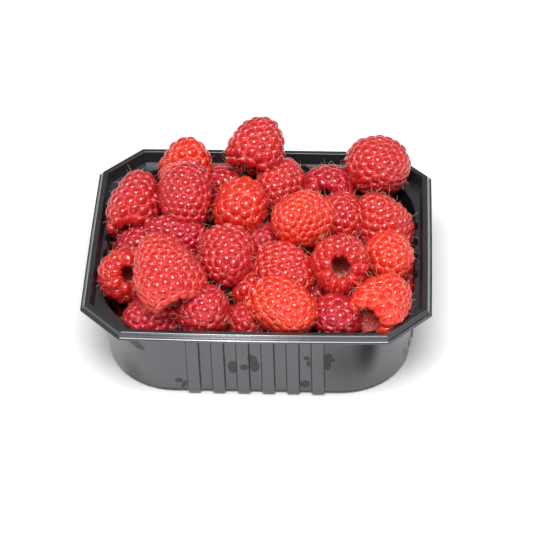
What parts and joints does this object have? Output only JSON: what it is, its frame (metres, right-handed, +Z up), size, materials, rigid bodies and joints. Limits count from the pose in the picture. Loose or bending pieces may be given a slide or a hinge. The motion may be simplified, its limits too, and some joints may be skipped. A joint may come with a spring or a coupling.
{
  "type": "punnet of fresh raspberries",
  "caption": "Open black plastic tray with a stepped eight-sided rim and ribbed tapered sides, filled and heaped with fresh raspberries.",
  "frame": {"origin": "under the middle of the tray, on the surface it stands on", "axes": "+X along the tray's long side, to the right seen from its front; -Y towards its front; +Z up"},
  "size_m": [0.1434, 0.121, 0.0679],
  "materials": {
    "black_plastic": "thermoformed black sheet, satin to glossy",
    "raspberry": null
  },
  "bodies": {
    "root": {"punnet": "black_plastic", "raspberry_heap": "raspberry"}
  },
  "joints": []
}
